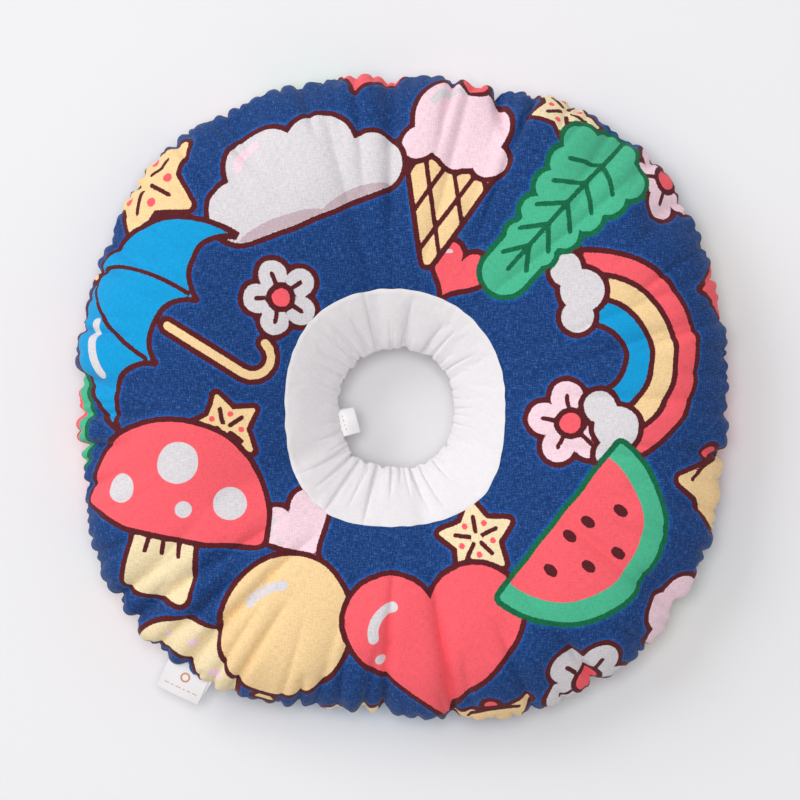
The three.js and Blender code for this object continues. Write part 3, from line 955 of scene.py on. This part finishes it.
gathers = {
    "length": 336.0,  # mm of the strip before it was gathered
    "width": 65.0,
    "finer": 4,  # times as many sections as the stuffed shell
    "small": {"pitch": 4.4, "depth": 0.9, "spread": 0.6, "reach": 13.0},
    "seam": {"pitch": 9.0, "depth": 0.3, "spread": 1.6, "reach": 6.0},  # where the band is sewn to a cover
    "seed": 8,
    "front": table("angle depth spread reach bow", [
        (36, 1.1, 0.7, 24, -2),
        (54, 1.5, 0.8, 24, -2),
        (62, 1.4, 0.7, 22, -2),
        (82, 1.9, 0.8, 30, -1),
        (94, 1.1, 0.7, 18, 0),
        (106, 2.2, 0.8, 36, -1),
        (115, 1.6, 0.7, 26, 2),
        (125, 1.7, 0.7, 28, 3),
        (131, 1.7, 0.7, 32, 4),
        (141, 1.2, 0.7, 22, 3),
        (150, 1.3, 0.7, 22, 1),
        (163, 1.2, 0.7, 20, -1),
        (205, 1.1, 0.7, 20, -2),
        (220, 1.7, 0.7, 34, -6),
        (228, 1.7, 0.7, 30, -3),
        (236, 2.2, 0.9, 38, 0),
        (245, 1.6, 0.7, 28, 0),
        (254, 2.2, 0.9, 37, 1),
        (267, 1.2, 0.7, 20, 0),
        (279, 1.3, 0.7, 20, 1),
        (286, 1.9, 0.8, 32, 3),
        (293, 1.6, 0.7, 30, 4),
        (306, 1.1, 0.7, 20, 2),
        (334, 1.1, 0.7, 18, 0),
    ]),
    "back": {"pitch": 9.0, "depth": 1.9, "spread": 0.8, "reach": 26.0},
    "thread": 0.5,  # mm between threads; the real ones are too fine to show
    "slub": 4.0,
    "bump": 0.1 * mm,
}


def finerGrid(places, times):
    # smooth sections and rows between those of a grid that runs round, first round it and then across
    around = len(places) * times
    places = np.fft.irfft(np.fft.rfft(places, axis=0), n=around, axis=0) * times
    before, after = places[:, :1] * 2 - places[:, 1:2], places[:, -1:] * 2 - places[:, -2:-1]
    wide = np.concatenate([before, places, after], axis=1)
    finer = np.empty((around, places.shape[1] * 2 - 1, 3))
    finer[:, ::2] = places
    finer[:, 1::2] = (9 * (wide[:, 1:-2] + wide[:, 2:-1]) - wide[:, :-3] - wide[:, 3:]) / 16
    return finer


def gatheredBand():
    grid = finerGrid(bandPlaces, gathers["finer"])
    around, rows = grid.shape[:2]
    turned = np.arange(around) * 2 * math.pi / around
    spot = np.stack(np.broadcast_arrays(np.cos(turned)[:, None], np.sin(turned)[:, None],
                                        np.linspace(0, 1, rows)), -1)
    piece = sewn("neckBand", grid, spot, 0)
    spot = columns(piece.data.attributes["flat"].data, 3, "vector")
    angle, share = np.arctan2(spot[:, 1], spot[:, 0]), spot[:, 2]
    points = columns(piece.data.vertices, 3)
    away = np.hypot(points[:, 0] - middle.x, points[:, 1] - middle.y) / mm
    along = np.abs(share - 0.5) * bandWidth / mm
    chance = np.random.default_rng(gathers["seed"])
    edge = 2 * math.pi * bandLines[:, ring["bandRows"] // 2, 0].mean() / mm
    seam = 2 * math.pi * seamAway.mean() / mm
    front, back = (strewn(chance, edge, gathers["small"]) for _ in range(2))
    front, back = gathers["front"] + front, strewn(chance, edge, gathers["back"]) + back
    sink = np.where(share < 0.5, folded(angle, away, along, front), folded(angle, away, along, back))
    sink += folded(angle, away, bandWidth / mm / 2 - along, strewn(chance, seam, gathers["seam"]))
    pressedIn(piece, sink)
    storeMap(piece.data, np.column_stack([angle / (2 * math.pi) % 1, share]), True)
    print("neckBand", len(piece.data.polygons), "faces")
    return piece


def plainCottonFinish():
    # bleached plain-weave cotton: matt and even, with a faint weave
    material, shader = newFinish("plainCotton", Roughness=0.92)
    shader.inputs["Specular IOR Level"].default_value = 0.2
    shader.inputs["Sheen Weight"].default_value = 0.15
    shader.inputs["Sheen Roughness"].default_value = 0.5
    place = millimetres(material, (gathers["length"], gathers["width"]))
    weave = threads(material, place, gathers["thread"], gathers["slub"])
    shade = ranged(material, weave, 0.7, 1.3, 0.0, 1.0)
    shade = mixed(material, shade, colour("#eae5e8"), colour("undyed"))
    bump = add(material, "Bump", {"Height": weave, "Strength": 0.5, "Distance": gathers["bump"]}).outputs[0]
    material.node_tree.links.new(shade, shader.inputs["Base Color"])
    material.node_tree.links.new(bump, shader.inputs["Normal"])
    return material


neckBand = gatheredBand()
dressed(neckBand, plainCottonFinish(), "plain_cotton", "neck_band")


# Labels: a ribbon folded in two, its ends sewn into a seam. Its marks are made up.

ribbon = {
    "thickness": 0.25 * mm,
    "fold": 0.45,  # mm, radius of the turn at the tip
    "tuck": 2.0,  # mm of each end inside the seam
    "step": 0.4,  # mm between its points
    "rib": 0.35,  # mm between the satin's ribs; the real ones are too fine to show
    "bump": 0.05 * mm,
}
sizeLabel = {
    "root": (-97.3, -124.9, 23.2),  # mm, middle of the seam that holds it
    "angle": 245,  # degrees, the way that it sticks out
    "width": 21.0,
    "length": 14.5,
    "droop": 4.0,
    "aside": 1.6,  # how far the under layer shows at the side
    "wave": 0.7,
    "ringAway": 4.6,  # from the seam
    "ringSize": 1.9,
    "barAway": 10.0,
    "barLengths": (2.0, 1.1, 2.4, 0.9, 1.6, 2.0),
    "line": 0.45,
    "dye": "orange",
}
careLabel = {
    "root": (-27.6, -12.4, 23.2),
    "angle": 15,
    "width": 12.0,
    "length": 8.0,
    "droop": 2.2,
    "aside": 0.7,
    "wave": 1.1,
    "ringAway": None,
    "ringSize": 0,
    "barAway": 1.6,
    "barLengths": (1.0, 0.7, 1.2, 0.6),
    "line": 0.3,
    "dye": "grey",
}


def bent(facts, across, along):
    # where a place on the flat ribbon comes to lie: out from the seam, aside, and up
    half, turn = facts["length"] + ribbon["tuck"], ribbon["fold"]
    straight = half - math.pi * turn / 2
    swing = min(max((along - straight) / turn, 0), math.pi)
    back = max(along - straight - math.pi * turn, 0)
    out = min(along, straight) + turn * math.sin(swing) - back - ribbon["tuck"]
    share = max(out, 0) / facts["length"]
    open_ = min(0.3 + share * 2, 1)
    up = turn * math.cos(swing) * open_ - facts["droop"] * share ** 1.6
    up += facts["wave"] * share * math.sin(across / facts["width"] * 4.4 + 1.0)
    return out, across + facts["aside"] * (1 - share) * swing / math.pi, up


def ribbonMarks(facts, across, out):
    at = np.column_stack([across, out])
    edges = []
    if facts["ringAway"]:
        edges.append(np.abs(disc(at, 0, facts["ringAway"], facts["ringSize"])) - facts["line"])
    spare = facts["width"] - 5 - sum(facts["barLengths"])
    start = -facts["width"] / 2 + 2.5
    for length in facts["barLengths"]:
        edges.append(bar(at, start, facts["barAway"], start + length, facts["barAway"], facts["line"] / 2))
        start += length + spare / (len(facts["barLengths"]) - 1)
    return joined(*edges)


def ribbonLabel(name, facts, finish, node):
    total = 2 * (facts["length"] + ribbon["tuck"])
    bm = bmesh.new()
    flat = bm.verts.layers.float_vector.new("flat")
    bmesh.ops.create_grid(bm, x_segments=round(facts["width"] / ribbon["step"]),
                          y_segments=round(total / ribbon["step"]), size=0.5)
    turn = math.radians(facts["angle"])
    way, side = Vector((math.cos(turn), math.sin(turn), 0)), Vector((-math.sin(turn), math.cos(turn), 0))
    for vert in bm.verts:
        across, along = vert.co.x * facts["width"], (vert.co.y + 0.5) * total
        vert[flat] = (across, along, 0)
        out, aside, up = bent(facts, across, along)
        vert.co = (Vector(facts["root"]) + way * out + side * aside + Vector((0, 0, up))) * mm
    bm.normal_update()
    piece = newPiece(name, bm)
    wall = piece.modifiers.new("wall", "SOLIDIFY")
    wall.thickness = ribbon["thickness"]
    wall.offset = 0
    mesh = applied(piece)
    across, along, _ = columns(mesh.attributes["flat"].data, 3, "vector").T
    sheet = blankPrint(len(across))
    sheet["line"]["edge"] = ribbonMarks(facts, across, along - ribbon["tuck"])
    sheet["line"]["colour"][:] = colour(facts["dye"])
    storePrint(mesh, {"line": sheet["line"]})
    storeMap(mesh, np.column_stack([across / facts["width"] + 0.5, along / total]))
    dressed(piece, finish, "satin_ribbon", node)
    print(name, len(mesh.polygons), "faces")
    return piece


def satinRibbonFinish(name, facts):
    # woven polyester satin: white, with a soft gloss along its fine ribs, and thin printed marks
    material, shader = newFinish(name, Roughness=0.42)
    shader.inputs["Specular IOR Level"].default_value = 0.5
    shader.inputs["Sheen Weight"].default_value = 0.2
    place = millimetres(material, (facts["width"], 2 * (facts["length"] + ribbon["tuck"])))
    ribs = threads(material, place, ribbon["rib"], 12.0)
    away = add(material, "Attribute", attribute_name="lineEdge").outputs["Fac"]
    inked = ranged(material, away, -0.08, 0.08, 0.85, 0.0)
    shade = mixed(material, inked, colour("#f6f3f5"), colour(facts["dye"]))
    bump = add(material, "Bump", {"Height": ribs, "Strength": 0.4, "Distance": ribbon["bump"]}).outputs[0]
    material.node_tree.links.new(shade, shader.inputs["Base Color"])
    material.node_tree.links.new(bump, shader.inputs["Normal"])
    return material


ribbonLabel("sizeLabel", sizeLabel, satinRibbonFinish("satinSizeRibbon", sizeLabel), "size_label")
ribbonLabel("careLabel", careLabel, satinRibbonFinish("satinCareRibbon", careLabel), "care_label")


# Floor and light

room = {
    "floor": "#f4f3f5",
    "sky": 0.34,
    "lamps": [
        {"name": "window", "place": (-3.2, 2.0, 2.6), "size": 3.0, "watts": 90, "tint": "#ffffff"},
        {"name": "overhead", "place": (-0.1, 0.1, 1.9), "size": 0.8, "watts": 16, "tint": "#ffffff"},
    ],
}


def makeRoom():
    bm = bmesh.new()
    bmesh.ops.create_grid(bm, x_segments=1, y_segments=1, size=3)
    floor = newPiece("floor", bm)
    paper, shader = newFinish("backgroundPaper", Roughness=0.9)
    shader.inputs["Base Color"].default_value = colour(room["floor"])
    floor.data.materials.append(paper)
    for facts in room["lamps"]:
        light = bpy.data.lights.new(facts["name"], "AREA")
        light.size = facts["size"]
        light.energy = facts["watts"]
        light.color = colour(facts["tint"])[:3]
        lamp = bpy.data.objects.new(facts["name"], light)
        lamp.location = facts["place"]
        lamp.rotation_euler = (-lamp.location).to_track_quat("-Z", "Y").to_euler()
        bpy.context.scene.collection.objects.link(lamp)
    world = bpy.data.worlds.new("room")
    world.use_nodes = True
    world.node_tree.nodes["Background"].inputs["Color"].default_value = (1, 1, 1, 1)
    world.node_tree.nodes["Background"].inputs["Strength"].default_value = room["sky"]
    bpy.context.scene.world = world
    bpy.context.scene.view_settings.view_transform = "Standard"


makeRoom()
